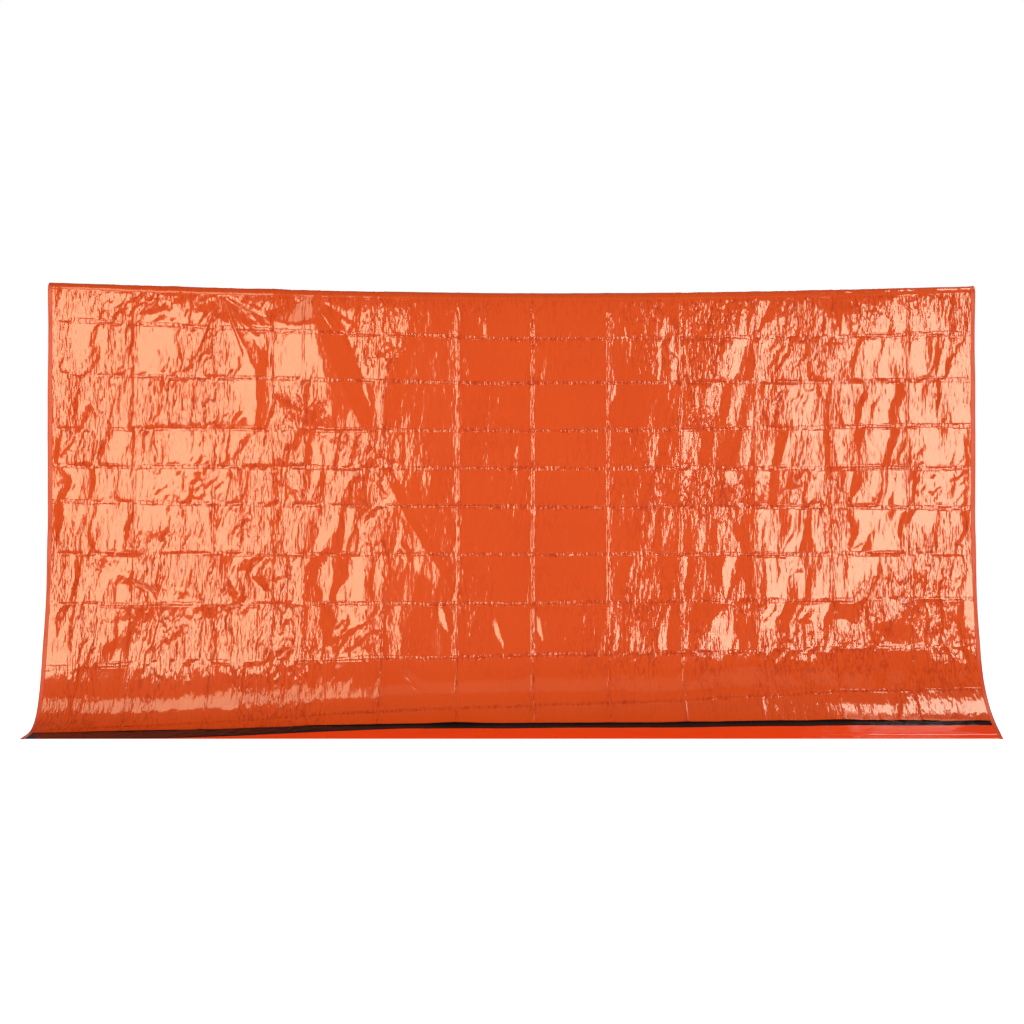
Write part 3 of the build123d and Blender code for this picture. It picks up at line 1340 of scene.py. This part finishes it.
@dataclass
class BarWrap:
    """Both plies of film over the bar and down the tail behind it, with the closed edge."""

    sack: Sack
    finish: Material
    cell: Pair = (0.0050, 0.0028)
    inner_cell: Pair = (0.008, 0.004)
    edge_cell: Pair = (0.006, 0.0006)
    underlap: float = 0.010
    tuck: float = 0.0006
    ply: float = 0.0027
    inner_ply: float = 0.0004
    fold_radius: float = 0.00125

    def build(self) -> None:
        """Lays the outer ply, the inner ply and the closed edge."""
        sack = self.sack
        start = sack.hang.start
        outer = lay_film("bar_wrap_film", sack.wide, (start, self.underlap), self.cell,
                         self.outer_ply, self.finish)
        tie(outer, "back", ("bar_wrap_front_ply", "tail_front_ply"))
        under = partial(sack.wrap, lift=self.inner_ply, seed=511)
        inner = lay_film("bar_wrap_inner", sack.wide, (start, 0.0), self.inner_cell, under,
                         self.finish, Facing.BACK)
        tie(inner, "back", ("bar_wrap_back_ply", "tail_back_ply"))
        around = (0.0, math.pi * self.fold_radius)
        edge = lay_film("closed_edge_film", sack.wide, around, self.edge_cell, self.closed_edge,
                        self.finish, Facing.BACK)
        tie(edge, "back", ("closed_edge_fold",))

    def outer_ply(self, x: Array, s: Array) -> Places:
        """Shapes the outer ply, which slips under the front film below the bar."""
        px, py, pz, busy = self.sack.wrap(x, s, self.ply, 501)
        return px, py + self.tuck * step(0.0, 0.003, s), pz, busy

    def closed_edge(self, x: Array, s: Array) -> Places:
        """Shapes the sack's closed end, a half round fold at the bottom of the tail."""
        bend = s / self.fold_radius
        at = np.full_like(s, self.sack.hang.start)
        middle = 0.5 * (self.ply + self.inner_ply)
        px, py, pz = self.sack.put(x, at, middle + self.fold_radius * np.cos(bend))
        return px, py, pz - self.fold_radius * np.sin(bend), 0.3


@dataclass
class SideSeams:
    """Heat-sealed strips that close the sack's two sides."""

    sack: Sack
    finish: Material
    thickness: float = 0.0011
    cell: Pair = (0.0017, 0.0040)
    overrun: float = 0.001
    curl: float = 0.0016
    wave: float = 0.0004
    pull: float = 0.0008
    rise: float = 0.0003

    def build(self) -> None:
        """Lays both strips."""
        half = self.sack.hang.half_width
        for name, across in (("left", (-half, -SEAM_LINE)), ("right", (SEAM_LINE, half))):
            piece = self.strip(f"{name}_seam_film", across)
            tie(piece, "back", (f"{name}_side_seam",))

    def shape(self, x: Array, s: Array) -> Places:
        """Shapes a strip, curled along its outer edge."""
        out = np.clip((np.abs(x) - SEAM_LINE) / self.sack.hang.seam, 0, 1)
        curl = self.curl * swells(s / 0.06, x * 0, 601 + int(x[0] > 0)) * out**2
        wave = self.wave * swells(s / 0.02, x * 0, 607)
        lift = self.sack.seam_gap + self.rise + np.clip(curl + wave * out, -0.0006, 0.004)
        pull = self.pull * (swells(s / 0.11, x * 0, 611) - 1) * out
        px, py, pz = self.sack.put(x, s, lift)
        return px + np.sign(x) * pull, py, pz, 0.5

    def strip(self, name: str, across: Pair) -> Piece:
        """Makes one sealed strip, closed all round.

        Args:
            name: the piece's name.
            across: from and to, across the sack.

        Returns:
            The piece.
        """
        hang = self.sack.hang
        along = (hang.start - self.overrun, hang.fold + self.overrun)
        piece = lay_film(name, across, along, self.cell, self.shape, self.finish)
        thick = piece.obj.modifiers.new("thickness", "SOLIDIFY")
        thick.thickness = self.thickness
        thick.offset = -1.0
        bpy.context.view_layer.objects.active = piece.obj
        bpy.ops.object.modifier_apply(modifier=thick.name)
        return piece


# ---- Studio ----


WARM = (1.0, 0.95, 0.84)


@dataclass
class SoftBox:
    """One lit panel of the studio."""

    name: str
    centre: Triple
    size: Pair
    glow: float
    aim: Triple = (0.0, 0.0, -0.45)
    tint: Triple = (1.0, 1.0, 1.0)
    mirrored: bool = True

    def build(self) -> None:
        """Adds the light, turned towards its aim."""
        light = bpy.data.lights.new(self.name, "AREA")
        light.shape = "RECTANGLE"
        light.size, light.size_y = self.size
        light.color = self.tint
        light.energy = self.glow * math.pi * self.size[0] * self.size[1]
        obj = bpy.data.objects.new(self.name, light)
        bpy.context.collection.objects.link(obj)
        obj.location = self.centre
        away = Vector(self.centre) - Vector(self.aim)
        obj.rotation_euler = away.to_track_quat("Z", "Y").to_euler()
        obj.visible_camera = False
        obj.visible_glossy = self.mirrored


@dataclass
class Studio:
    """Pale floor, soft boxes, bright surroundings and the camera."""

    hang: Hang
    floor_size: float = 14.0
    eye: Triple = (0.001, -3.519, -0.464)
    lens: float = 57.1
    surround: float = 0.10
    floor_drop: float = 0.0006

    def build(self) -> None:
        """Sets up the stage."""
        self.floor()
        self.sky()
        self.camera()
        for box in self.boxes():
            box.build()
        bpy.context.scene.view_settings.view_transform = "Standard"
        log.info("studio ready")

    def boxes(self) -> tuple[SoftBox, ...]:
        """The studio's lit panels.

        Returns:
            Two large boxes beside the camera, and fills that leave no mirror image.
        """
        return (
            SoftBox("left_box", (-1.58, -3.6, 0.14), (1.70, 1.42), 7.6, (-1.58, 0.0, 0.14), WARM),
            SoftBox("right_box", (1.87, -3.6, 0.05), (1.24, 1.38), 9.0, (1.87, 0.0, 0.05)),
            SoftBox("upper_right_box", (1.70, -0.1, 1.2), (0.60, 1.0), 7.0, (1.0, -0.1, -0.85)),
            SoftBox("upper_left_box", (-1.35, -1.7, 1.35), (1.2, 1.0), 3.4, (-0.8, -0.1, -0.8), WARM),
            SoftBox("high_box", (0.0, -2.2, 2.0), (3.4, 0.8), 0.3, (0.0, 0.0, -0.45)),
            SoftBox("low_left_box", (-0.7, 1.5, -0.86), (0.8, 0.7), 2.2, (-0.7, 0.4, -0.3)),
            SoftBox("low_right_box", (0.8, 1.3, -0.86), (0.7, 0.6), 2.2, (0.8, 0.3, -0.3)),
            SoftBox("front_fill", (0.0, -4.2, 1.4), (3.0, 1.0), 0.6, mirrored=False),
            SoftBox("top_fill", (0.0, 0.2, 2.4), (3.2, 2.4), 1.1, mirrored=False),
            SoftBox("low_fill", (0.0, -1.0, -0.70), (2.6, 0.25), 1.3, (0.0, -0.1, -0.85),
                    mirrored=False),
            SoftBox("back_fill", (0.0, 4.0, 0.8), (3.4, 1.6), 3.0, mirrored=False),
            SoftBox("back_left_box", (-0.95, 2.3, 0.1), (1.0, 1.5), 5.0, (-0.95, 0.0, 0.1)),
            SoftBox("back_right_box", (1.0, 2.3, 0.1), (0.8, 1.5), 5.0, (1.0, 0.0, 0.1)),
        )

    def floor(self) -> None:
        """Adds the floor just under the mouth fold."""
        bpy.ops.object.select_all(action="DESELECT")
        drop = self.hang.bar_height + self.floor_drop
        bpy.ops.mesh.primitive_plane_add(size=self.floor_size, location=(0, 0, -drop))
        floor = bpy.context.active_object
        floor.name = "studio_floor"
        shader = Shader("studio_floor")
        shader.set(Base_Color=(0.5, 0.5, 0.5, 1.0), Roughness=0.9, Specular_IOR_Level=0.0)
        shader.set(Emission_Color=(1.0, 1.0, 1.0, 1.0), Emission_Strength=1.0)
        floor.data.materials.append(shader.material)
        floor.visible_glossy = False

    def sky(self) -> None:
        """Surroundings that are seen white and reflected dim."""
        world = bpy.data.worlds.new("studio")
        bpy.context.scene.world = world
        world.use_nodes = True
        nodes = world.node_tree.nodes
        links = world.node_tree.links
        nodes.clear()
        ray = nodes.new("ShaderNodeLightPath")
        mix = nodes.new("ShaderNodeMixShader")
        links.new(ray.outputs["Is Camera Ray"], mix.inputs[0])
        for slot, grey in ((1, self.surround), (2, 1.0)):
            shade = nodes.new("ShaderNodeBackground")
            shade.inputs["Color"].default_value = (grey, grey, grey, 1)
            links.new(shade.outputs[0], mix.inputs[slot])
        out = nodes.new("ShaderNodeOutputWorld")
        links.new(mix.outputs[0], out.inputs[0])

    def camera(self) -> None:
        """Adds the level camera in front of the sack."""
        data = bpy.data.cameras.new("camera")
        data.lens = self.lens
        data.sensor_width = 36.0
        camera = bpy.data.objects.new("camera", data)
        bpy.context.collection.objects.link(camera)
        camera.location = self.eye
        camera.rotation_euler = (math.pi / 2, 0, 0)
        bpy.context.scene.camera = camera


def main() -> None:
    """Builds the sack's pieces and the studio."""
    logging.basicConfig(level=logging.INFO, format="%(message)s")
    sack = Sack()
    film = OrangeFilm().build()
    lining = PaintedReflectionLining().build()
    FrontPanel(sack, film, lining).build()
    BackPanel(sack, film, lining, HemFilm().build()).build()
    BarWrap(sack, film).build()
    SideSeams(sack, SealedFilm().build()).build()
    Studio(sack.hang).build()


if __name__ == "__main__":
    main()
